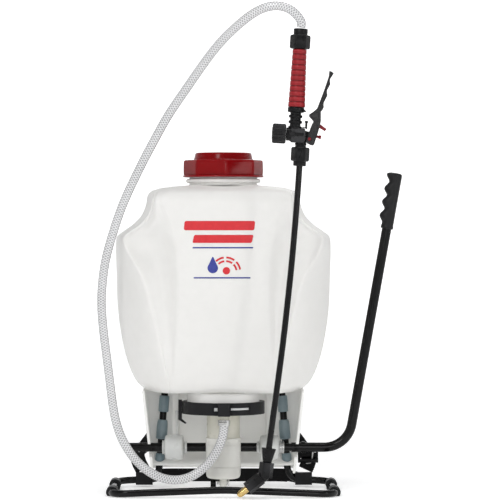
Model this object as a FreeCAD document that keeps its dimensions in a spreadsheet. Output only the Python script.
import FreeCAD, Part
import Sketcher
import math
import os

# Backpack sprayer: blow-moulded tank on a bent-tube carrying frame, piston pump
# under the tank worked by a side lever, hose, spray gun and wand.
# Design frame: origin on the floor below the filler neck, +Z up. +X is the lever
# side, called right. +Y is towards the wearer, called rear; -Y is front.
# shift_x and shift_y move every finished part from here to the row frame.

V = FreeCAD.Vector
Placement = FreeCAD.Placement
Rotation = FreeCAD.Rotation
UP = (0, 0, 1)
TO_RIGHT = (1, 0, 0)

doc = FreeCAD.newDocument("backpack_sprayer")
sheet = doc.addObject("Spreadsheet::Sheet", "Dims")

# Driving dimensions: _or and _ir are outer and inner radii, _low and _high are heights.
CELLS = [
    ("shift_x", -46.2), ("shift_y", 22.5),
    # tank
    ("tank_wall", 3.2), ("neck_or", 55.4), ("neck_ir", 50.6), ("neck_top", 541.0),
    ("bead_or", 61.6), ("bead_low", 506.0), ("bead_high", 513.0),
    ("sump_or", 59.0), ("sump_ir", 48.0), ("sump_flange_or", 63.4), ("sump_y", -20.0),
    # lid
    ("cap_circum", 66.6), ("cap_low", 515.5), ("cap_mid", 544.0), ("cap_top", 556.0),
    ("cap_bore", 56.6), ("cap_disc", 48.2), ("gasket_or", 54.6), ("gasket_ir", 46.0),
    ("gasket_low", 541.0), ("gasket_thick", 2.4),
    ("basket_or", 49.6), ("basket_wall", 1.6), ("basket_depth", 58.0),
    # clamp collar
    ("collar_or", 67.85), ("collar_ir", 60.0), ("collar_low", 128.0),
    ("collar_height", 20.0), ("collar_groove", 63.6), ("head_or", 63.2),
    # pump
    ("tube_or", 27.1), ("tube_ir", 23.6), ("tube_low", 76.0),
    ("cup_or", 29.0), ("cup_ir", 27.18), ("cup_high", 88.0), ("nub_r", 6.15), ("nub_low", 7.0),
    ("chamber_or", 38.0), ("chamber_wall", 2.5), ("chamber_high", 330.0),
    ("ball_r", 6.0), ("crosspin_r", 3.0),
    # drive
    ("shaft_r", 7.4), ("shaft_y", 30.0), ("shaft_z", 68.0),
    ("shaft_left", -160.0), ("shaft_right", 128.0),
    ("bearing_or", 20.5), ("bearing_bore", 7.45), ("bearing_width", 33.0),
    ("lever_or", 7.95), ("lever_ir", 6.4), ("grip_r", 10.2), ("grip_len", 92.0),
    ("washer_r", 11.5), ("washer_thick", 3.0), ("lever_bolt_r", 3.2),
    # frame
    ("frame_r", 5.8), ("frame_bore", 4.4), ("foot_r", 9.5), ("foot_len", 25.0),
    # hose, gun and wand
    ("hose_or", 7.3), ("hose_ir", 4.8), ("wand_or", 4.95), ("wand_ir", 3.3),
    ("gun_x", 114.4), ("gun_y", -154.0), ("gun_z", 582.1), ("gun_tilt", 3.2),
    ("grip_top_r", 11.3), ("grip_low_r", 13.9), ("knob_r", 15.8), ("trigger_thick", 17.0),
    ("trigger_pin_r", 2.0), ("nozzle_r", 5.6),
]
for row, (alias, value) in enumerate(CELLS, start=1):
    sheet.set("A%d" % row, alias)
    sheet.set("B%d" % row, "%s" % value)
    sheet.setAlias("B%d" % row, alias)
doc.recompute()


def dim(alias):
    return float(getattr(sheet, alias))


# Axes and heights that several parts share
SHIFT = V(dim("shift_x"), dim("shift_y"), 0.0)
NECK_TOP = dim("neck_top")
SUMP_Y = dim("sump_y")
SHAFT_Y, SHAFT_Z = dim("shaft_y"), dim("shaft_z")
PARTS = []


# ---------------------------------------------------------------- helpers
def keep(obj, label, placement=Placement()):
    """Names a finished part and moves it to the row frame."""
    obj.Label = label
    obj.Placement = Placement(SHIFT, Rotation()).multiply(placement)
    PARTS.append(obj)


def bind(obj, prop, size):
    """Binds a property to a sheet expression given as text, or sets a plain number."""
    if isinstance(size, str):
        obj.setExpression(prop, size)
    else:
        setattr(obj, prop, size)


def place(pos, direction=UP):
    """Placement at pos with local Z turned to the direction."""
    return Placement(V(*pos), Rotation(V(0, 0, 1), V(*direction)))


def cyl(name, radius, length, pos, direction=UP):
    obj = doc.addObject("Part::Cylinder", name)
    bind(obj, "Radius", radius)
    bind(obj, "Height", length)
    obj.Placement = place(pos, direction)
    return obj


def ball(name, radius, pos):
    obj = doc.addObject("Part::Sphere", name)
    bind(obj, "Radius", radius)
    obj.Placement = place(pos)
    return obj


def box(name, low, high):
    """Box between two opposite corners."""
    obj = doc.addObject("Part::Box", name)
    obj.Length, obj.Width, obj.Height = high[0] - low[0], high[1] - low[1], high[2] - low[2]
    obj.Placement = place(low)
    return obj


def hexagon(name, circumradius, height, pos, direction=UP):
    obj = doc.addObject("Part::Prism", name)
    obj.Polygon = 6
    obj.Circumradius = circumradius
    obj.Height = height
    obj.Placement = place(pos, direction)
    return obj


def raw(name, shape):
    obj = doc.addObject("Part::Feature", name)
    obj.Shape = shape
    return obj


def fuse(name, shapes):
    obj = doc.addObject("Part::MultiFuse", name)
    obj.Shapes = shapes
    return obj


def compound(name, links):
    obj = doc.addObject("Part::Compound", name)
    obj.Links = links
    return obj


def cut(name, base, tool):
    obj = doc.addObject("Part::Cut", name)
    obj.Base = base
    obj.Tool = tool
    return obj


def cut_all(name, base, tools):
    """One cut with all the tools fused."""
    return cut(name, base, fuse(name + "_tools", tools))


def cut_each(name, base, tools):
    """One cut after another, in the order of the tools."""
    for k, tool in enumerate(tools):
        base = cut("%s%d" % (name, k), base, tool)
    return base


def ring(name, r_out, r_in, length, pos, direction=TO_RIGHT):
    """Round sleeve; the bore tool runs far past both ends."""
    unit = V(*direction).normalize()
    outer = cyl(name + "_o", r_out, length, pos, direction)
    bore = cyl(name + "_i", r_in, 400.0, V(*pos) - unit * 200, direction)
    return cut(name, outer, bore)


def value_of(coord):
    """Value of a number, or of sheet aliases and numbers joined by + and -."""
    if not isinstance(coord, str):
        return float(coord)
    total = 0.0
    for term in coord.replace("- ", "+ -").split("+ "):
        term = term.strip()
        sign = -1.0 if term.startswith("-") else 1.0
        term = term.lstrip("-")
        total += sign * (dim(term[5:]) if term.startswith("Dims.") else float(term))
    return total


def sketch_polygon(body, points, plane):
    """Closed straight-sided profile. A coordinate given as text is bound to the sheet."""
    sketch = body.newObject("Sketcher::SketchObject", "profile")
    support = next(f for f in body.Origin.OriginFeatures if f.Role == plane)
    sketch.AttachmentSupport = [(support, "")]
    sketch.MapMode = "FlatFace"
    count = len(points)
    values = [tuple(value_of(coord) for coord in point) for point in points]
    for k in range(count):
        start, end = values[k], values[(k + 1) % count]
        sketch.addGeometry(Part.LineSegment(V(*start, 0), V(*end, 0)), False)
    for k in range(count):
        sketch.addConstraint(Sketcher.Constraint("Coincident", k, 2, (k + 1) % count, 1))
    for k in range(count):
        for axis, kind in enumerate(("DistanceX", "DistanceY")):
            index = sketch.addConstraint(
                Sketcher.Constraint(kind, -1, 1, k, 1, values[k][axis]))
            if isinstance(points[k][axis], str):
                sketch.setExpression("Constraints[%d]" % index, points[k][axis])
    return sketch


def revolved(name, points):
    """Body turned about its own Z axis from a profile of (radius, height)."""
    body = doc.addObject("PartDesign::Body", name)
    sketch = sketch_polygon(body, points, "XZ_Plane")
    turn = body.newObject("PartDesign::Revolution", name + "_turn")
    turn.Profile = sketch
    turn.ReferenceAxis = (sketch, ["V_Axis"])
    turn.Angle = 360.0
    body.Tip = turn
    return body


def padded(name, points, length, plane="XZ_Plane", midplane=True):
    """Body padded from a straight-sided profile."""
    body = doc.addObject("PartDesign::Body", name)
    sketch = sketch_polygon(body, points, plane)
    pad = body.newObject("PartDesign::Pad", name + "_pad")
    pad.Profile = sketch
    bind(pad, "Length", length)
    if midplane:
        pad.Midplane = True
    body.Tip = pad
    return body


def closed_wire(points):
    return Part.makePolygon(points + [points[0]])


def wire_bent(points, radii):
    """Path of straight runs joined by bends, one radius for each inner corner."""
    corners = [V(*p) for p in points]
    edges = []
    last = corners[0]
    for before, corner, after, radius in zip(corners, corners[1:], corners[2:], radii):
        back = (before - corner).normalize()
        ahead = (after - corner).normalize()
        half_angle = back.getAngle(ahead) / 2.0
        trim = radius / math.tan(half_angle)
        arc_start = corner + back * trim
        arc_end = corner + ahead * trim
        inward = (back + ahead).normalize()
        centre = corner + inward * (radius / math.sin(half_angle))
        if (arc_start - last).Length > 1e-4:
            edges.append(Part.LineSegment(last, arc_start).toShape())
        edges.append(Part.Arc(arc_start, centre - inward * radius, arc_end).toShape())
        last = arc_end
    edges.append(Part.LineSegment(last, corners[-1]).toShape())
    return Part.Wire(edges)


def smooth_curve(points):
    curve = Part.BSplineCurve()
    curve.interpolate([V(*p) for p in points])
    return curve


def wire_smooth(points):
    return Part.Wire([smooth_curve(points).toShape()])


def swept(name, wire, radius):
    """Round section carried along a path."""
    path = raw(name + "_path", wire)
    edge = wire.OrderedEdges[0]
    start = edge.valueAt(edge.FirstParameter)
    tangent = edge.tangentAt(edge.FirstParameter)
    first = wire.OrderedVertexes[0].Point
    # the first edge may run against the path
    if (start - first).Length > 1e-5:
        start = first
        tangent = edge.tangentAt(edge.LastParameter) * -1
    circle = doc.addObject("Part::Circle", name + "_section")
    bind(circle, "Radius", radius)
    circle.Placement = place(start, tangent)
    sweep = doc.addObject("Part::Sweep", name)
    sweep.Sections = [circle]
    sweep.Spine = (path, ["Edge%d" % (k + 1) for k in range(len(wire.Edges))])
    sweep.Solid = True
    sweep.Frenet = False
    return sweep


def ribbon(name, points, width_dir, width, thick):
    """Flat webbing: a rectangle carried along a smooth path."""
    wire = wire_smooth(points)
    edge = wire.Edges[0]
    start = edge.valueAt(edge.FirstParameter)
    across = V(*width_dir).normalize()
    normal = edge.tangentAt(edge.FirstParameter).cross(across).normalize()
    corners = [start + across * (a * width / 2) + normal * (n * thick / 2)
               for a, n in ((1, 1), (-1, 1), (-1, -1), (1, -1))]
    return raw(name, wire.makePipeShell([closed_wire(corners)], True, False))


def round_loft(points, radius, count, stretch=0.0):
    """Round tube as a loft of circles square to a smooth path, stretched at both ends."""
    curve = smooth_curve(points)
    total = curve.length()
    rings = []
    for k in range(count + 1):
        param = curve.parameterAtDistance(total * k / count, curve.FirstParameter)
        centre = curve.value(param)
        tangent = curve.tangent(param)[0]
        if k == 0:
            centre = centre - tangent * stretch
        if k == count:
            centre = centre + tangent * stretch
        rings.append(Part.Wire([Part.makeCircle(radius, centre, tangent)]))
    return Part.makeLoft(rings, True, True)


# ---------------------------------------------------------------- tank
# Each table gives (height, value) stations of the tank's cross-section.
HALF_WIDTH = [
    (163, 118), (165, 126), (170, 134), (181, 144.4), (195, 151.8), (208, 156.8),
    (221, 160.7), (234, 164.2), (247, 166.8), (260, 169.1), (287, 172.9), (313, 175),
    (340, 175.9), (366, 176.7), (392, 177.7), (406, 177.6), (415, 176.8), (419, 175.2),
    (425, 168), (432, 158), (438, 149.5), (445, 142), (451, 136.5), (458.5, 132.2),
    (472, 127.5), (485, 125.5), (490, 122.5), (494, 117), (498, 104), (500.5, 84), (502, 60)]
PANEL_HALF_WIDTH = [(163, 82), (181, 81), (224, 78), (285, 75), (347, 74), (397, 75),
                    (434, 88), (464, 101), (485, 112), (502, 112)]
CREASE_X = [(163, 86), (170, 87.5), (224, 98), (286, 112), (347, 127.5), (378, 146),
            (409, 164.5), (419, 166)]
FRONT_FACE_Y = [(163, -70), (166, -78), (172, -85), (185, -91), (205, -95), (470, -95),
                (485, -91), (492, -84), (498, -72), (502, -50)]
REAR_FACE_Y = [(163, 66), (166, 73), (172, 79), (185, 84), (205, 88), (470, 88),
               (485, 84), (492, 78), (498, 66), (502, 46)]
GROOVE_FACTOR = [(163, 0.5), (180, 1.0), (415, 1.0), (440, 0.12)]
CREASE_SETBACK = [(163, 3), (224, 6), (347, 11), (409, 22), (425, 18), (450, 9)]
SIDE_Y = [(163, 0), (200, 4), (400, 8), (450, 0)]
CORNER_FULLNESS = [(163, 0.75), (172, 1.0), (480, 1.0), (502, 0.55)]
# Heights of the sections of the inside
VOID_Z = [166.2, 170, 181, 195, 221, 247, 287, 313, 340, 366, 392, 406, 415, 419, 425,
          432, 438, 445, 451, 458.5, 472, 485, 490, 494, 497, 498.6]
WING_TOP = 419      # above this the wings merge into the shoulder
SHOULDER_LOW = 480  # above this the inside is drawn in further


def interp(z, table):
    """Straight-line reading of a station table, held at its end values."""
    if z <= table[0][0]:
        return table[0][1]
    for (z0, v0), (z1, v1) in zip(table, table[1:]):
        if z <= z1:
            return v0 + (z - z0) / (z1 - z0) * (v1 - v0)
    return table[-1][1]


def tank_half(z):
    """Right half of the section at height z, as (x, y) from front to rear."""
    width = interp(z, HALF_WIDTH)
    panel = interp(z, PANEL_HALF_WIDTH)
    crease = interp(z, CREASE_X)
    front = interp(z, FRONT_FACE_Y)
    rear = interp(z, REAR_FACE_Y)
    if z > WING_TOP:
        crease = width * 0.90
        panel = min(panel, width * 0.82)
    crease = min(crease, width * 0.94)
    panel = min(panel, crease - 5)
    gap = crease - panel
    wing = width - crease
    depth = min(30.0, gap * 0.34) * interp(z, GROOVE_FACTOR)
    crease_y = front + interp(z, CREASE_SETBACK)
    side_y = interp(z, SIDE_Y)
    full = interp(z, CORNER_FULLNESS)
    to_side = side_y - crease_y
    to_rear = rear - side_y
    return [
        # centre panel
        (0.0, front), (panel * 0.5, front), (panel - 7, front + 0.3), (panel, front + 2.5),
        # groove between panel and wing
        (panel + gap * 0.25, max(front + depth * 0.8, front + 3)),
        (panel + gap * 0.52, max(front + depth, front + 4)),
        # wing crease and wing
        (crease - gap * 0.14, crease_y + 1.0 + depth * 0.12), (crease, crease_y + 0.5),
        (crease + wing * 0.22, crease_y + to_side * 0.10),
        (crease + wing * 0.55, crease_y + to_side * 0.36),
        (crease + wing * 0.84, crease_y + to_side * 0.68), (width, side_y),
        # rear corner and rear face
        (width - 0.8, side_y + to_rear * 0.3), (width * 0.972, side_y + to_rear * 0.6),
        (width * (0.80 + 0.10 * full), side_y + to_rear * 0.86),
        (width * (0.62 + 0.12 * full), rear - 1.5), (width * 0.4, rear), (0.0, rear)]


def section(z, offset=0.0):
    """Whole section at height z, scaled inwards by the offset."""
    half = tank_half(z)
    full = half + [(-x, y) for x, y in reversed(half[1:-1])]
    if offset:
        width = max(x for x, _ in full)
        low = min(y for _, y in full)
        high = max(y for _, y in full)
        middle, deep = (low + high) / 2.0, (high - low) / 2.0
        full = [(x * (width - offset) / width, middle + (y - middle) * (deep - offset) / deep)
                for x, y in full]
    return full


def section_wire(points, z):
    curve = Part.BSplineCurve()
    curve.interpolate(Points=[V(x, y, z) for x, y in points], PeriodicFlag=True)
    return Part.Wire([curve.toShape()])


def tank_shell():
    outer = Part.makeLoft([section_wire(section(z), z) for z, _ in HALF_WIDTH], True, True)
    wall = dim("tank_wall")
    void_wires = []
    for z in VOID_Z:
        top = z > SHOULDER_LOW
        points = section(z + (2.0 if top else 0.0), wall + 1.0 if top else wall)
        void_wires.append(section_wire(points, z))
    inner = Part.makeLoft(void_wires, True, True)
    neck_height = 45.0
    sump_low = 140.0
    solid = fuse("tank_solid", [
        raw("tank_skin", outer),
        cyl("neck_out", "Dims.neck_or", neck_height, (0, 0, NECK_TOP - neck_height)),
        cyl("neck_bead", "Dims.bead_or", "Dims.bead_high - Dims.bead_low",
            (0, 0, dim("bead_low"))),
        cyl("sump_out", "Dims.sump_or", 26.0, (0, SUMP_Y, sump_low)),
        cyl("sump_flange", "Dims.sump_flange_or", 6.4, (0, SUMP_Y, sump_low)),
    ])
    tank = cut_each("tank_cut", solid, [
        raw("tank_void", inner),
        cyl("neck_bore", "Dims.neck_ir", 60.0, (0, 0, NECK_TOP - 55.0)),
        cyl("sump_bore", "Dims.sump_ir", 40.0, (0, SUMP_Y, sump_low - 5.0)),
        # seat for the strainer's rim
        cyl("neck_seat", "Dims.basket_or + 3.4", 4.0, (0, 0, NECK_TOP - 1.95)),
    ])
    keep(tank, "tank_shell")


# ---------------------------------------------------------------- lid group
def filler_cap():
    """Octagonal skirt with a round rim below and a tapered disc on top."""
    turn = 3.4
    well_low = 543.0
    bore_top = 543.6
    circum = dim("cap_circum")
    angles = [math.radians(45 * k + turn) for k in range(8)]
    octagon = [(circum * math.cos(a), circum * math.sin(a)) for a in angles]
    body = padded("cap_body", octagon, "Dims.cap_mid - Dims.cap_low", "XY_Plane", False)
    body.Placement = place((0, 0, dim("cap_low")))
    rim = cyl("cap_rim", "Dims.cap_circum", 3.4, (0, 0, dim("cap_low")))
    disc = doc.addObject("Part::Cone", "cap_disc_cone")
    bind(disc, "Radius1", "Dims.cap_disc")
    bind(disc, "Radius2", "Dims.cap_disc - 2.5")
    bind(disc, "Height", "Dims.cap_top - Dims.cap_mid")
    disc.Placement = place((0, 0, dim("cap_mid")))
    keep(cut_all("cap_cut", fuse("cap_solid", [body, rim, disc]), [
        cyl("cap_bore_cut", "Dims.cap_bore", bore_top - dim("cap_low"), (0, 0, dim("cap_low"))),
        cyl("cap_well_cut", "Dims.cap_disc - 6", 9.0, (0, 0, well_low)),
        cyl("cap_vent_hole", 6.0, 20.0, (0, 0, well_low)),
    ]), "filler_cap")


def cap_gasket():
    outer = cyl("gasket_out", "Dims.gasket_or", "Dims.gasket_thick",
                (0, 0, dim("gasket_low") + 0.05))
    bore = cyl("gasket_in", "Dims.gasket_ir", 10.0, (0, 0, dim("gasket_low") - 5.0))
    keep(cut("gasket_cut", outer, bore), "cap_gasket")


def cap_vent_valve():
    vent = revolved("vent_valve_body", [
        (0, -4.0), (7.8, -4.0), (7.8, -1.2), (5.9, -1.2), (5.9, 4.5), (0, 4.5)])
    keep(vent, "cap_vent_valve", place((0, 0, 551.6)))


def filler_strainer():
    """Basket with a rim and a row of upright slots."""
    slot_count = 12
    rim_thick = 1.9
    floor_thick = 2.0
    low = NECK_TOP - dim("basket_depth")
    outer = cyl("basket_out", "Dims.basket_or", "Dims.basket_depth", (0, 0, low))
    rim = cyl("basket_rim", "Dims.basket_or + 3.2", rim_thick, (0, 0, NECK_TOP - rim_thick))
    tools = [cyl("basket_in", "Dims.basket_or - Dims.basket_wall", "Dims.basket_depth",
                 (0, 0, low + floor_thick))]
    for k in range(slot_count):
        slot = box("basket_slot%d" % k, (40, -4, 492), (60, 4, 528))
        turn = Placement(V(0, 0, 0), Rotation(V(0, 0, 1), 360 / slot_count * k))
        slot.Placement = turn.multiply(slot.Placement)
        tools.append(slot)
    keep(cut_all("basket_cut", fuse("basket_solid", [outer, rim]), tools), "filler_strainer")


# ---------------------------------------------------------------- base skirt
# Centre line of the frame's uprights, which lean outwards towards the floor
UPRIGHT_Y = 60.0
UPRIGHT_TOP_X, UPRIGHT_TOP_Z = 97.6, 160.0
UPRIGHT_FOOT_X, UPRIGHT_FOOT_Z = 108.5, 13.0


def trapezoid(z, half_front, half_rear, y_front, y_rear):
    return closed_wire([V(-half_front, y_front, z), V(half_front, y_front, z),
                        V(half_rear, y_rear, z), V(-half_rear, y_rear, z)])


def tapered_block(name, upper, lower):
    """Loft between two trapezoids, each (z, half_front, half_rear, y_front, y_rear)."""
    return raw(name, Part.makeLoft([trapezoid(*upper), trapezoid(*lower)], True, True))


def base_skirt():
    outer = tapered_block("skirt_out", (162.6, 133, 134, -46, 76), (30, 118, 122, -34, 88))
    inner = tapered_block("skirt_in", (163, 128, 129, -60, 71), (20, 112, 116.3, -50, 83.5))
    lip = tapered_block("skirt_lip", (58, 117, 118, 64, 83), (36, 116, 117, 46, 84))
    ribs = [box("skirt_rib_" + name, (x, 52.0, 40), (x + 12, 76.0, 160))
            for name, x in (("left", -86.0), ("right", 70.0))]
    solid = fuse("skirt_solid", [cut("skirt_walls", outer, inner), lip] + ribs)
    tools = []
    for s in (-1, 1):
        # socket for the bearing
        tools.append(cyl("skirt_socket_%d" % (s + 1), "Dims.bearing_or + 0.2", 60.0,
                         (s * 80.0 - 30.0, SHAFT_Y, SHAFT_Z), TO_RIGHT))
        # notch for the shaft, open to the front edge
        tools.append(box("skirt_notch_%d" % (s + 1), (s * 126.0 - 24.0, -70.0, 57.5),
                         (s * 126.0 + 24.0, 39.5, 78.5)))
        # channel that keeps the ledge clear of the frame upright
        foot = V(s * UPRIGHT_FOOT_X, UPRIGHT_Y, UPRIGHT_FOOT_Z)
        head = V(s * UPRIGHT_TOP_X, UPRIGHT_Y, UPRIGHT_TOP_Z)
        tools.append(cyl("skirt_channel_%d" % (s + 1), 10.6, 140.0, foot, head - foot))
    keep(cut_each("skirt_cut", solid, tools), "base_skirt")


# ---------------------------------------------------------------- carrying frame
FRONT_Y = -135.0
# Rear and front ends of each floor rail
RAIL_REAR_X, RAIL_REAR_Z = 178, 9.6
RAIL_FRONT_X, RAIL_FRONT_Z = 180, 5.8
# Half the frame, from the top of an upright to the front corner
FRAME_HALF = [
    (UPRIGHT_TOP_X, UPRIGHT_Y, UPRIGHT_TOP_Z), (UPRIGHT_FOOT_X, UPRIGHT_Y, UPRIGHT_FOOT_Z),
    (RAIL_REAR_X, UPRIGHT_Y, RAIL_REAR_Z), (RAIL_FRONT_X, FRONT_Y, RAIL_FRONT_Z)]
frame_wire = wire_bent(
    [(-x, y, z) for x, y, z in FRAME_HALF] + [(0, FRONT_Y, 12.4)] + FRAME_HALF[::-1],
    [22, 24, 26, 400, 26, 24, 22])


def frame_tube():
    outer = swept("frame_tube_out", frame_wire, "Dims.frame_r")
    inner = swept("frame_tube_in", frame_wire, "Dims.frame_bore")
    keep(cut("frame_cut", outer, inner), "frame_tube")


def upright_point(s, z):
    lean = (UPRIGHT_FOOT_X - UPRIGHT_TOP_X) / (UPRIGHT_TOP_Z - UPRIGHT_FOOT_Z)
    return V(s * (UPRIGHT_TOP_X + (UPRIGHT_TOP_Z - z) * lean), UPRIGHT_Y, z)


def frame_clips():
    """Three sleeves round each leaning upright."""
    clips = []
    for s in (-1, 1):
        # low end, high end, outer radius
        for k, (low, high, radius) in enumerate(
                ((125, 152, 8.5), (79.5, 112, 9.3), (39, 56, 8.0))):
            name = "clip_%d_%d" % (s + 1, k)
            start = upright_point(s, low)
            run = upright_point(s, high) - start
            unit = V(*run).normalize()
            outer = cyl(name + "_o", radius, run.Length, start, run)
            bore = cyl(name + "_i", "Dims.frame_r + 0.05", run.Length + 20,
                       start - unit * 10, run)
            clips.append(cut(name, outer, bore))
    keep(compound("clip_group", clips), "frame_clips")


def rail_point(s, y):
    f = (UPRIGHT_Y - y) / (UPRIGHT_Y - FRONT_Y)
    return V(s * (RAIL_REAR_X + (RAIL_FRONT_X - RAIL_REAR_X) * f), y,
             RAIL_REAR_Z + (RAIL_FRONT_Z - RAIL_REAR_Z) * f)


def foot_sleeves():
    """Two sleeves on each floor rail, each with a flat pad on the floor."""
    pad_x = 178.8
    feet = []
    for s in (-1, 1):
        for k, y0 in enumerate((0.0, -108.0)):
            tag = "%d_%d" % (s + 1, k)
            y1 = y0 + dim("foot_len")
            start = rail_point(s, y0)
            run = rail_point(s, y1) - start
            unit = V(*run).normalize()
            sleeve = cyl("foot_o_" + tag, "Dims.foot_r", run.Length, start, run)
            pad = box("foot_p_" + tag, (s * pad_x - 8.0, y0, 0.0), (s * pad_x + 8.0, y1, 6.0))
            below_floor = box("foot_c_" + tag, (s * pad_x - 20, y0 - 5, -20.0),
                              (s * pad_x + 20, y1 + 5, 0.0))
            bore = cyl("foot_i_" + tag, "Dims.frame_r + 0.1", 60.0, start - unit * 15, run)
            feet.append(cut_all("foot_" + tag, fuse("foot_s_" + tag, [sleeve, pad]),
                                [below_floor, bore]))
    keep(compound("foot_group", feet), "foot_sleeves")


# ---------------------------------------------------------------- shaft bearings
def bearing_blocks():
    for side, x in (("left", -98.0), ("right", 60.0)):
        label = "bearing_block_" + side
        body = revolved(label + "_b", [
            ("Dims.bearing_bore", 0), (17.5, 0), ("Dims.bearing_or", 3.0),
            ("Dims.bearing_or", "Dims.bearing_width - 3"), (17.5, "Dims.bearing_width"),
            ("Dims.bearing_bore", "Dims.bearing_width")])
        keep(body, label, place((x, SHAFT_Y, SHAFT_Z), TO_RIGHT))


# Rings on the shaft: name, outer radius, thickness, x of the left face
SHAFT_WASHERS = [("washer_ol", "Dims.washer_r", "Dims.washer_thick", -101.4),
                 ("washer_il", 9.7, 4.2, -64.6), ("washer_ir", 9.7, 4.2, 55.4)]
STEEL_WASHERS = [("washer_or1", 10.8, 2.0, 93.4), ("washer_or2", 9.6, 2.6, 95.8),
                 ("washer_or3", 10.8, 2.0, 98.8)]


def washers():
    for group, label, rows in (("washer_group", "shaft_washers", SHAFT_WASHERS),
                               ("metal_washer_group", "steel_washers", STEEL_WASHERS)):
        rings = [ring(name, radius, "Dims.shaft_r + 0.06", thick, (x, SHAFT_Y, SHAFT_Z))
                 for name, radius, thick, x in rows]
        keep(compound(group, rings), label)


# ---------------------------------------------------------------- clamp collar
def half_collar(name, front):
    """Half of the grooved collar; the front half has a lug, a slot and a window."""
    half_gap = 0.6
    base = cyl(name + "_o", "Dims.collar_or", "Dims.collar_height",
               (0, SUMP_Y, dim("collar_low")))
    tools = [cyl(name + "_g", "Dims.collar_groove", 17.0, (0, SUMP_Y, 129.8)),
             cyl(name + "_b", "Dims.collar_ir", 30.0, (0, SUMP_Y, 122.0))]
    if not front:
        tools.append(box(name + "_t", (-90, SUMP_Y - 120, 110), (90, SUMP_Y + half_gap, 160)))
        return cut_all(name, base, tools)
    lug = box(name + "_lug", (-8.6, SUMP_Y - 74.0, 127.0), (11.0, SUMP_Y - 64.5, 148.5))
    tools += [
        box(name + "_t", (-90, SUMP_Y - half_gap, 110), (90, SUMP_Y + 120, 160)),
        box(name + "_slot", (11.6, SUMP_Y - 90, 136.0), (42.0, SUMP_Y - 50, 140.6)),
        box(name + "_win", (-15.2, SUMP_Y - 90, 134.6), (-9.0, SUMP_Y - 60, 141.0))]
    return cut_all(name, fuse(name + "_f", [base, lug]), tools)


def collar():
    keep(half_collar("collar_half_a", True), "collar_front")
    keep(half_collar("collar_half_b", False), "collar_rear")
    # hooked plate at the collar's left end, profile in (x, z)
    bracket = padded("collar_bracket_b", [
        (-73.9, 150.0), (-67.95, 150.0), (-67.95, 118.5),
        (-60.5, 112.0), (-62.5, 110.5), (-73.9, 117.5)], 7.0)
    keep(bracket, "collar_bracket", place((0, SUMP_Y, 0)))
    keep(ring("sump_gasket_r", 62.0, "Dims.chamber_or + 3", 2.2, (0, SUMP_Y, 137.6), UP),
         "sump_gasket")


# ---------------------------------------------------------------- pump
OUTLET_X, OUTLET_Y = 1.0, -65.0  # axis of the hose outlet under the pump head
CROSS_PIN_Z = 13.6


def pump_head():
    """Disc with a boss above, a hose outlet below and a cross way between them."""
    solid = fuse("pump_head_s", [
        cyl("head_o", "Dims.head_or", 7.4, (0, SUMP_Y, 130.0)),
        cyl("head_boss", "Dims.chamber_or", 12.0, (0, SUMP_Y, 137.4)),
        cyl("outlet_o", 6.4, 17.0, (OUTLET_X, OUTLET_Y, 114.0)),
    ])
    keep(cut_each("pump_head_cut", solid, [
        cyl("head_bore", 20.0, 16.0, (0, SUMP_Y, 136.0)),
        cyl("head_gate", 5.6, 30.0, (0, SUMP_Y, 120.0)),
        cyl("head_seat", "Dims.tube_or", 2.0, (0, SUMP_Y, 128.5)),
        cyl("outlet_bore", 3.2, 29.0, (OUTLET_X, OUTLET_Y, 105.0)),
        cyl("head_cross", 2.5, 40.0, (OUTLET_X, OUTLET_Y - 1.5, 133.5), (0, 1, 0)),
    ]), "pump_head")


def pump_cylinder():
    """Fixed tube and the piston seal at its lower end."""
    keep(ring("pump_tube_r", "Dims.tube_or", "Dims.tube_ir", 54.0,
              (0, SUMP_Y, dim("tube_low") + 0.4), UP), "pump_tube")
    seal = revolved("piston_seal_b", [
        (12.0, 0), (27.0, 0), (27.0, 3.0), (23.4, 6.0), (23.4, 10.0), (12.0, 10.0)])
    keep(seal, "piston_seal", place((0, SUMP_Y, 66.2)))


def pump_cup():
    """Moving cup: closed lower end with a rounded shoulder, cross-drilled nub below."""
    cup = revolved("pump_cup_b", [
        (0, "Dims.nub_low"), (5.0, "Dims.nub_low"), ("Dims.nub_r", 8.4), ("Dims.nub_r", 20.8),
        (22.5, 20.8), (26.6, 23.2), (28.4, 27.5), (28.6, 84.4),
        ("Dims.cup_or + 0.2", 85.0), ("Dims.cup_or + 0.2", "Dims.cup_high"),
        ("Dims.cup_ir", "Dims.cup_high"), ("Dims.cup_ir", 30.0), (24.0, 25.0), (0, 25.0)])
    hole = cyl("cup_cross_hole", "Dims.crosspin_r + 0.02", 30.0, (-15, 0, CROSS_PIN_Z),
               TO_RIGHT)
    keep(cut("pump_cup_c", cup, hole), "pump_cup", place((0, SUMP_Y, 0)))


def pump_cross_pin():
    pin = revolved("cross_pin_b", [
        (0, -10.6), ("Dims.crosspin_r", -10.6), ("Dims.crosspin_r", 7.0),
        (5.2, 7.0), (5.2, 10.0), (0, 10.0)])
    keep(pin, "pump_cross_pin", place((0, SUMP_Y, CROSS_PIN_Z), TO_RIGHT))


def pressure_chamber():
    """Chamber inside the tank, closed by a dished top."""
    inner_r = "Dims.chamber_or - Dims.chamber_wall"
    chamber = revolved("chamber_b", [
        (inner_r, 149.6), ("Dims.chamber_or", 149.6), ("Dims.chamber_or", "Dims.chamber_high"),
        (30.0, 343.0), (14.0, 348.0), (0, 349.0),
        (0, 346.0), (13.0, 345.0), (28.5, 340.5), (inner_r, 329.0)])
    keep(chamber, "pressure_chamber", place((0, SUMP_Y, 0)))


def valve_ball_and_screen():
    keep(ball("suction_ball_s", "Dims.ball_r", (0, 0, 0)), "valve_ball",
         place((0, SUMP_Y, 138.2)))
    screen = revolved("sump_screen_b", [(44.0, 0), (47.4, 0), (47.4, 26.0), (44.0, 26.0)])
    keep(screen, "sump_screen", place((0, SUMP_Y, 141.0)))


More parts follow.
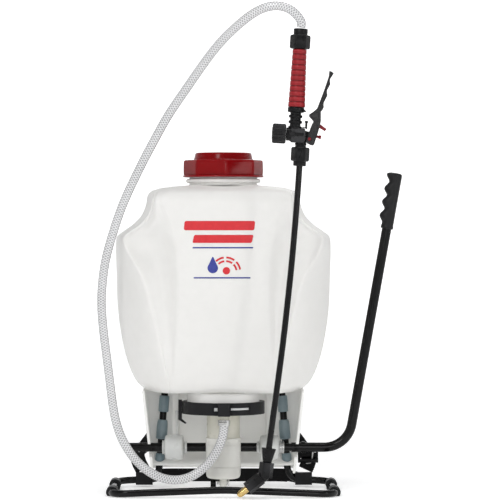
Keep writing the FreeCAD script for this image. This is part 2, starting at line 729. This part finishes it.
# ---------------------------------------------------------------- drive
COTTER_X = -140.0
LEVER_BOLT_X = 132.4
LEVER_BEND = V(206.5, SHAFT_Y, SHAFT_Z)
LEVER_TOP = V(287.0, SHAFT_Y, 518.3)


def lever_bolt_hole(name):
    return cyl(name, "Dims.lever_bolt_r + 0.02", 60.0, (LEVER_BOLT_X, SHAFT_Y, SHAFT_Z - 30))


def cross_shaft():
    """Shaft with a thinner stub that enters the lever tube."""
    left = dim("shaft_left")
    full_end = 100.0
    main = cyl("shaft_o", "Dims.shaft_r", full_end - left, (left, SHAFT_Y, SHAFT_Z), TO_RIGHT)
    stub = cyl("shaft_stub", "Dims.lever_ir - 0.03", 60.0,
               (dim("shaft_right") - 32.0, SHAFT_Y, SHAFT_Z), TO_RIGHT)
    cotter_hole = cyl("cotter_hole", 1.75, 40.0, (COTTER_X, SHAFT_Y, SHAFT_Z - 20))
    keep(cut_all("shaft_c", fuse("shaft_f", [main, stub]),
                 [cotter_hole, lever_bolt_hole("bolt_hole_shaft")]), "cross_shaft")


# Crank outline in (y, z): hub round the shaft, arm down and under the cup
CRANK_OUTLINE = [
    (17.2, 74.0), (17.2, 60.0), (24.0, 24.0), (17.0, 15.6), (-24.0, 14.6), (-24.0, 6.4),
    (22.0, 6.0), (33.0, 14.0), (40.5, 58.0), (43.0, 70.0), (38.0, 80.0), (28.0, 81.5),
    (20.5, 79.5)]


def crank_arm():
    right_face_x = -12.0
    thick = 9.0
    wire = closed_wire([V(right_face_x, y, z) for y, z in CRANK_OUTLINE])
    arm = raw("crank_blank", Part.Face(wire).extrude(V(-thick, 0, 0)))
    bore = cyl("crank_bore", "Dims.shaft_r + 0.02", 40.0, (-35, SHAFT_Y, SHAFT_Z), TO_RIGHT)
    slot = box("crank_slot", (-30, -30, 8.5), (-5, -6, 12.5))
    keep(cut_all("crank_c", arm, [bore, slot]), "crank_arm")


def cotter_pin():
    roll = cyl("cotter_roll", 1.6, 15.6, (COTTER_X, SHAFT_Y, SHAFT_Z - 7.8))
    core = cyl("cotter_core", 0.8, 30.0, (COTTER_X, SHAFT_Y, SHAFT_Z - 15.0))
    keep(cut("cotter_c", roll, core), "cotter_pin")


def lever():
    path = wire_bent([(113.0, SHAFT_Y, SHAFT_Z), LEVER_BEND, LEVER_TOP], [46.0])
    outer = swept("lever_out", path, "Dims.lever_or")
    inner = swept("lever_in", path, "Dims.lever_ir")
    keep(cut_all("lever_c", outer, [inner, lever_bolt_hole("bolt_hole_lever")]), "lever_tube")
    bolt = revolved("lever_bolt_b", [
        (0, -9.5), (2.6, -9.5), (4.2, -8.6), ("Dims.lever_bolt_r", -8.6),
        ("Dims.lever_bolt_r", 8.6), (4.2, 8.6), (2.6, 9.5), (0, 9.5)])
    keep(bolt, "lever_bolt", place((LEVER_BOLT_X, SHAFT_Y, SHAFT_Z)))


def lever_grip():
    """Round sleeve with a closed end and four finger bumps on the inner (-X) side."""
    axis = (LEVER_TOP - LEVER_BEND).normalize()
    top = LEVER_TOP + axis * 3.0
    low = top - axis * dim("grip_len")
    inward = V(-axis.z, 0, axis.x)
    shapes = [
        cyl("lever_grip_o", "Dims.grip_r", "Dims.grip_len", low, axis),
        ball("lever_grip_end", "Dims.grip_r", top - axis * 1.5),
        cyl("lever_grip_collar", "Dims.grip_r + 1.2", 5.0, low, axis)]
    for k in range(4):
        centre = low + axis * (16.0 + 23.0 * k) + inward * 4.6
        shapes.append(ball("lever_grip_bump%d" % k, 8.8, centre))
    bore = cyl("lever_grip_i", "Dims.lever_or", 120.0, low - axis * 31.0, axis)
    keep(cut("lever_grip_c", fuse("lever_grip_f", shapes), bore), "lever_grip")


# ---------------------------------------------------------------- hose
# Gun frame: +Z up the grip, +X to the trigger, tilted about Y
GUN_Y = dim("gun_y")
GUN_ORIGIN = V(dim("gun_x"), GUN_Y, dim("gun_z"))
GUN = Placement(GUN_ORIGIN, Rotation(V(0, 1, 0), dim("gun_tilt")))
tilt = math.radians(dim("gun_tilt"))
GUN_UP = V(math.sin(tilt), 0, math.cos(tilt))
GUN_OUT = V(math.cos(tilt), 0, -math.sin(tilt))
HOSE_END = GUN_ORIGIN + GUN_UP * 170.2
# Centre line from the pump outlet, round the tank's left side and up to the gun
HOSE_PATH = [
    (OUTLET_X, OUTLET_Y, 113.6), (OUTLET_X, OUTLET_Y, 107.0), (-1.1, -66, 91.4),
    (-11.4, -68, 66.3), (-29.7, -70, 42.6), (-57.3, -72, 24.4), (-84.9, -74, 21.4),
    (-114.1, -75, 31.2), (-143.3, -76, 55.6), (-164.4, -77, 88.2), (-175.7, -78, 122.3),
    (-182.2, -78, 167.7), (-187.8, -78, 213.1), (-194.3, -78, 263.4), (-197.9, -79, 307.3),
    (-196.4, -80, 341.3), (-191.1, -81, 380.3), (-180.3, -83, 419.2), (-162.7, -86, 471.0),
    (-139.6, -90, 520.0), (-114.4, -95, 567.9), (-89.3, -100, 616.2), (-69.0, -105, 645.0),
    (-49.6, -110, 673.0), (-32.7, -115, 696.0), (-13.3, -120, 720.7), (4.3, -126, 740.3),
    (22.8, -132, 756.8), (39.5, -138, 770.7), (55.5, -143, 781.1), (71.4, -147, 787.7),
    (84.1, -150, 789.0), (96.9, -152, 787.1), (108.0, -153, 781.6), (117.0, -154, 773.0),
    HOSE_END + GUN_UP * 9.0, HOSE_END + GUN_UP * 3.0, HOSE_END]
HOSE_SPANS = 72


def hose():
    outer = raw("hose_out", round_loft(HOSE_PATH, dim("hose_or"), HOSE_SPANS))
    inner = raw("hose_in", round_loft(HOSE_PATH, dim("hose_ir"), HOSE_SPANS, stretch=1.0))
    keep(cut("hose_c", outer, inner), "hose")


def hose_clamp():
    bore_r = "Dims.hose_or + 0.7"
    band = ring("hose_clamp_r", 9.6, bore_r, 9.0, (OUTLET_X, OUTLET_Y, 110.6), UP)
    screw = cyl("hose_clamp_screw", 2.6, 13.0, (-7.5, -76.4, 115.2), TO_RIGHT)
    bore = cyl("hose_clamp_bore", bore_r, 30.0, (OUTLET_X, OUTLET_Y, 95))
    keep(cut("hose_clamp_c", fuse("hose_clamp_f", [band, screw]), bore), "hose_clamp")


# ---------------------------------------------------------------- spray gun (gun frame)
VALVE_Z = -0.6             # axis of valve boss, spring and cap
STEM_Z = 0.4               # axis of the valve stem
WAND_X = 9.9               # axis of the outlet and wand nut
PIN_X, PIN_Z = 23.2, -7.0  # trigger pivot


def keep_on_gun(obj, label, local=Placement()):
    keep(obj, label, GUN.multiply(local))


def hose_nut():
    low = 135.9
    nut = fuse("hose_nut_f", [
        hexagon("hose_nut_hex", 33.5 / 2, 22.2, (0, 0, low)),
        cyl("hose_nut_top", 11.3, 10.2, (0, 0, low + 22.2))])
    keep_on_gun(cut_all("hose_nut_c", nut, [
        cyl("hose_nut_bore", 4.9, 60.0, (0, 0, 120.0)),
        cyl("hose_nut_well", 9.1, 14.1, (0, 0, 135.8))]), "hose_nut")


def trigger_pin_hole(name, length, y):
    return cyl(name, "Dims.trigger_pin_r + 0.03", length, (PIN_X, y, PIN_Z), (0, -1, 0))


def gun_body():
    """Core tube up through the grip, ringed neck, valve chest and boss, outlet below."""
    solids = [
        cyl("gun_core", 8.0, 143.0, (0, 0, 6.0)),
        cyl("gun_spigot", 9.0, 12.0, (0, 0, 137.6)),
        cyl("gun_flange", 13.2, 8.0, (0, 0, 34.6)),
        cyl("gun_ring1", 10.6, 4.2, (-1.0, 0, 26.0)),
        cyl("gun_ring2", 10.6, 4.2, (-1.0, 0, 17.0)),
        cyl("gun_ring3", 11.0, 4.2, (-0.6, 0, 8.0)),
        cyl("gun_neck", 8.6, 32.0, (-0.6, 0, 6.0)),
        cyl("gun_boss", 10.6, 30.0, (-14.0, 0, VALVE_Z), TO_RIGHT),
        box("gun_chest", (-6.0, -10.2, -13.5), (16.0, 10.2, 9.0)),
        cyl("gun_out", 8.6, 12.0, (WAND_X, 0, -20.0)),
        cyl("gun_out_thread", 9.0, 13.4, (WAND_X, 0, -32.6)),
        cyl("gun_stem_boss", 5.0, 8.0, (14.0, 0, STEM_Z), TO_RIGHT),
        box("gun_ear", (14.0, -3.4, -12.2), (26.6, 3.4, -3.6)),
        box("gun_arm", (6.0, -3.6, 35.4), (15.2, 3.6, 39.8)),
    ]
    tools = [
        cyl("gun_bore", 3.6, 160.0, (0, 0, 4.0)),
        cyl("gun_valve_bore", 7.0, 16.0, (-14.1, 0, VALVE_Z), TO_RIGHT),
        cyl("gun_way", 2.6, 40.0, (WAND_X, 0, -34.0)),
        cyl("gun_stem_bore", 2.25, 60.0, (-14.1, 0, STEM_Z), TO_RIGHT),
        trigger_pin_hole("gun_pin_hole", 30.0, 15.0),
    ]
    keep_on_gun(cut_all("gun_body_c", fuse("gun_body_f", solids), tools), "gun_body")


def gun_grip():
    """Sleeve of eleven soft rings, tapering to the top."""
    low, top, bore_r = 43.0, 135.6, 8.05
    pitch = 8.42
    low_r, top_r = dim("grip_low_r"), dim("grip_top_r")
    profile = [(bore_r, low), (13.6, low)]
    for k in range(11):
        z = low + k * pitch
        r = low_r - (low_r - top_r) * k / 10.5
        profile += [(r, z + 1.2), (r + 0.15, z + 4.2), (r, z + 7.0), (r - 0.7, z + 7.9)]
    profile += [(11.0, top), (bore_r, top)]
    keep_on_gun(revolved("gun_grip_b", profile), "gun_grip")


def latch_post():
    post_x = 17.1
    post = fuse("t_post_f", [
        cyl("t_post_s", 1.7, 9.2, (post_x, 0, 9.3)),
        cyl("t_post_h", 2.6, 3.4, (post_x, 0, 18.5)),
        box("t_post_base", (11.0, -3, 9.0), (18.9, 3, 11.6))])
    trim = box("t_post_trim", (5, -12, 0), (16.2, 12, 10.1))
    keep_on_gun(cut("t_post_c", post, trim), "latch_post")


def valve_cap():
    """Round cap with ten flutes, along X."""
    body = revolved("valve_cap_body", [
        (0, -36.3), ("Dims.knob_r - 1.5", -36.3), ("Dims.knob_r", -34.8),
        ("Dims.knob_r", -15.6), ("Dims.knob_r - 1.0", -14.6), (0, -14.6)])
    body.Placement = place((0, 0, VALVE_Z), TO_RIGHT)
    flute_circle = 17.0
    flutes = []
    for k in range(10):
        angle = math.radians(36 * k + 18)
        pos = (-34.6, flute_circle * math.cos(angle), VALVE_Z + flute_circle * math.sin(angle))
        flutes.append(cyl("valve_cap_flute%d" % k, 3.0, 19.0, pos, TO_RIGHT))
    keep_on_gun(cut_all("valve_cap_c", body, flutes), "valve_cap")


def valve_stem_and_spring():
    stem = revolved("valve_stem_b", [
        (0, 0), (2.2, 0), (2.2, 41.2), (3.4, 41.2), (3.4, 43.4), (0, 43.4)])
    keep_on_gun(stem, "valve_stem", place((-11.0, 0, STEM_Z), TO_RIGHT))
    # the spring is a plain sleeve
    keep_on_gun(ring("valve_spring_r", 6.2, 4.6, 9.5, (-13.6, 0, VALVE_Z)), "valve_spring")


# Trigger outline in (x, z), with finger waves on the outer side
TRIGGER_OUTLINE = [
    (18.0, -11.0), (26.5, -16.1), (31.2, -15.2), (36.5, 4.8), (39.8, 23.0), (39.0, 37.3),
    (43.3, 45.1), (42.9, 52.2), (48.0, 64.0), (46.8, 72.1), (51.6, 82.1), (50.7, 90.2),
    (56.2, 99.8), (49.0, 103.2), (48.7, 95.1), (41.2, 68.4), (32.9, 42.7), (20.7, 32.3),
    (22.4, 27.5), (28.4, 21.4), (26.2, 17.1), (22.1, 4.0)]
BUTTON_DIR = (1, 0, -0.12)


def trigger():
    """Plate with a channel over the gun's ear."""
    blade = padded("trigger_b", TRIGGER_OUTLINE, "Dims.trigger_thick")
    keep_on_gun(cut_all("trigger_c", blade, [
        box("trigger_channel", (10.0, -5.2, -20.0), (33.0, 5.2, 19.0)),
        trigger_pin_hole("trigger_pin_hole", 40.0, 20.0),
        box("trigger_latch_pocket", (33.4, -4.2, 9.0), (45.0, 4.2, 20.0)),
        cyl("trigger_btn_hole", 2.15, 30.0, (20.0, 0, -0.4), BUTTON_DIR)]), "trigger")


def trigger_pin():
    pin = revolved("trigger_pin_b", [
        (0, -10.6), (2.6, -10.6), (2.6, -8.8), ("Dims.trigger_pin_r", -8.8),
        ("Dims.trigger_pin_r", 9.4), (0, 9.4)])
    keep_on_gun(pin, "trigger_pin", place((PIN_X, 0, PIN_Z), (0, 1, 0)))


def trigger_lock():
    latch = padded("latch_b", [
        (34.0, 17.6), (37.4, 18.8), (49.9, 10.6), (47.2, 7.2), (42.6, 9.6), (36.0, 13.0)], 7.4)
    boss = cyl("latch_boss", 1.7, 8.1, (36.0, 4.05, 15.6), (0, -1, 0))
    keep_on_gun(fuse("latch_f", [latch, boss]), "trigger_lock")


def lock_button():
    button = revolved("lock_button_b", [
        (0, 0), (2.1, 0), (2.1, 4.5), (2.9, 4.5), (2.9, 8.2), (0, 8.2)])
    keep_on_gun(button, "lock_button", place((33.6, 0, -2.032), BUTTON_DIR))


def wand_nut():
    nut = fuse("wand_nut_f", [
        hexagon("wand_nut_hex", 15.2, 22.4, (WAND_X, 0, -43.0)),
        cyl("wand_nut_collar", 10.2, 8.0, (WAND_X, 0, -50.6))])
    keep_on_gun(cut_all("wand_nut_c", nut, [
        cyl("wand_nut_bore", 5.05, 60.0, (WAND_X, 0, -70.0)),
        cyl("wand_nut_well", 9.1, 12.6, (WAND_X, 0, -33.0))]), "wand_nut")


# ---------------------------------------------------------------- wand and nozzle
WAND_TOP = GUN_ORIGIN + GUN_OUT * WAND_X + GUN_UP * -34.0
# Centre line of the wand below its straight start, in (x, z)
WAND_XZ = [(115.8, 452.9), (109.6, 381.2), (102.1, 309.4), (93.8, 237.6),
           (84.2, 165.9), (77.8, 118.0), (70.9, 67.0)]
WAND_PATH = [WAND_TOP, WAND_TOP + GUN_UP * -20] + [V(x, GUN_Y, z) for x, z in WAND_XZ]
WAND_END = WAND_PATH[-1]
WAND_DIR = (WAND_END - WAND_PATH[-2]).normalize()
KNEE = V(66.6, GUN_Y, 38.6)
ELBOW_END = V(36.9, GUN_Y, 15.4)
NOZZLE_RUN = (ELBOW_END - KNEE).Length
NOZZLE_DIR = (ELBOW_END - KNEE).normalize()


def wand_tube():
    path = wire_smooth(WAND_PATH)
    outer = swept("wand_out", path, "Dims.wand_or")
    inner = swept("wand_in", path, "Dims.wand_ir")
    keep(cut("wand_c", outer, inner), "wand_tube")


def nozzle_nut():
    """Nut round the wand's end."""
    nut = revolved("nozzle_nut_b", [
        (5.05, -14.0), (11.6, -14.0), (11.6, -11.5), (8.4, 2.0), (6.9, 9.0), (5.05, 9.0)])
    keep(nut, "nozzle_nut", place(WAND_END, WAND_DIR))


def nozzle_elbow():
    """Hexagonal socket on the wand's end, round knee, hexagonal nozzle seat."""
    bore_r = 3.2
    socket = WAND_END + WAND_DIR * 9.1
    solid = fuse("elbow_f", [
        hexagon("elbow_upper", 11.6, 24.0, socket, WAND_DIR),
        hexagon("elbow_lower", 10.6, NOZZLE_RUN - 9.5, KNEE + NOZZLE_DIR * 8.0, NOZZLE_DIR),
        ball("elbow_knee", 9.4, KNEE + NOZZLE_DIR * 4)])
    keep(cut_all("elbow_c", solid, [
        cyl("elbow_bore_b", bore_r, 60.0, KNEE, NOZZLE_DIR),
        cyl("elbow_bore_a", bore_r, 18.0, socket - WAND_DIR * 1.0, WAND_DIR)]), "nozzle_elbow")


def nozzle_tip():
    tip = revolved("nozzle_tip_b", [
        (0.8, 0), ("Dims.nozzle_r", 0), ("Dims.nozzle_r", 12.0), (5.0, 15.4),
        (3.4, 18.0), (1.6, 19.0), (0.8, 19.0)])
    keep(tip, "nozzle_tip", place(KNEE + NOZZLE_DIR * (NOZZLE_RUN - 1.4), NOZZLE_DIR))


# ---------------------------------------------------------------- straps
# Right shoulder pad and upper webbing, mirrored for the left
PAD_PATH = [(54, 99.0, 468), (62, 104.0, 450), (78, 113.0, 410), (92, 119.0, 350),
            (102, 118.0, 290), (110, 113.0, 236), (116, 107.0, 196)]
WEB_PATH = [(117, 106.0, 188), (114, 106.0, 140), (112, 104.0, 95)]
# The lower ends differ from side to side
WEB_END_LEFT = [(-129, 98.5, 68), (-144, 90.5, 54), (-142, 82.5, 40), (-135, 74.0, 26.8)]
WEB_END_RIGHT = [(128, 98.5, 70), (141, 88.0, 54), (143, 79.0, 40), (138, 73.6, 27.4)]


def shoulder_straps():
    for s, side, web_end in ((-1, "left", WEB_END_LEFT), (1, "right", WEB_END_RIGHT)):
        pad_path = [(s * x, y, z) for x, y, z in PAD_PATH]
        web_path = [(s * x, y, z) for x, y, z in WEB_PATH] + web_end
        keep(ribbon(side + "_pad_r", pad_path, (1, 0.0, 0.25 * s), width=62.0, thick=11.0),
             "shoulder_pad_" + side)
        keep(ribbon(side + "_web_r", web_path, (1, 0.25 * s, 0.1 * s), width=25.0, thick=2.2),
             "strap_web_" + side)


def strap_anchor():
    """Bar with every edge rounded."""
    radius = 1.2
    bar = box("anchor_bar", (-84, 88.6, 474), (84, 92.2, 496))
    doc.recompute()
    rounded = doc.addObject("Part::Fillet", "anchor_bar_f")
    rounded.Base = bar
    rounded.Edges = [(k + 1, radius, radius) for k in range(len(bar.Shape.Edges))]
    keep(rounded, "strap_anchor")


def strap_hooks():
    """Blocks on the rear run of the frame tube."""
    hooks = []
    for s, x in ((-1, 132.0), (1, 134.0)):
        block = box("hook_%d" % (s + 1), (s * x - 14, UPRIGHT_Y - 9, 3.5),
                    (s * x + 14, UPRIGHT_Y + 9, 23.5))
        way = swept("hook_way_%d" % (s + 1), frame_wire, "Dims.frame_r + 0.9")
        hooks.append(cut("hook_c_%d" % (s + 1), block, way))
    keep(compound("hook_group", hooks), "strap_hooks")


def strap_buckle():
    """Ladder buckle lying on the lower end of the right strap."""
    lie = Placement(V(142.0, 78.6, 50.4), Rotation(V(1, 0, 0), -32.7))
    block = box("ladder_block", (-17, -3.5, -12), (17, 3.5, 12))
    slots = [box("ladder_slot_%d" % k, (-13.2, -10, z), (13.2, 10, z + 4.4))
             for k, z in enumerate((-8.2, 3.8))]
    for piece in [block] + slots:
        piece.Placement = lie.multiply(piece.Placement)
    keep(cut_each("ladder_c", block, slots), "strap_buckle")


def waist_belt():
    path = [(-104, 78, 17.5), (-60, 89.0, 16.8), (0, 92.0, 16.5), (60, 89.0, 16.8),
            (104, 78, 17.5)]
    keep(ribbon("belt_r", path, UP, width=22.0, thick=3.0), "waist_belt")


# ---------------------------------------------------------------- build, check and write
for build in (
        tank_shell, filler_cap, cap_gasket, cap_vent_valve, filler_strainer, base_skirt,
        frame_tube, frame_clips, foot_sleeves, bearing_blocks, washers, collar,
        pump_head, pump_cylinder, pump_cup, pump_cross_pin, pressure_chamber,
        valve_ball_and_screen, cross_shaft, crank_arm, cotter_pin, lever, lever_grip,
        hose, hose_clamp, hose_nut, gun_body, gun_grip, latch_post, valve_cap,
        valve_stem_and_spring, trigger, trigger_pin, trigger_lock, lock_button, wand_nut,
        wand_tube, nozzle_nut, nozzle_elbow, nozzle_tip, shoulder_straps, strap_anchor,
        strap_hooks, strap_buckle, waist_belt):
    build()

doc.recompute()
bad = []
for obj in doc.Objects:
    if "Invalid" in obj.State or "Error" in obj.State:
        bad.append("%s (%s) %s" % (obj.Name, obj.Label, obj.State))
for part in PARTS:
    shape = part.Shape
    if shape.isNull() or not shape.isValid() or not shape.Solids or shape.Volume <= 0:
        bad.append("%s bad shape" % part.Label)
if bad:
    raise RuntimeError("; ".join(bad))
os.makedirs("parts", exist_ok=True)
for part in PARTS:
    part.Shape.exportStep("parts/%s.step" % part.Label)
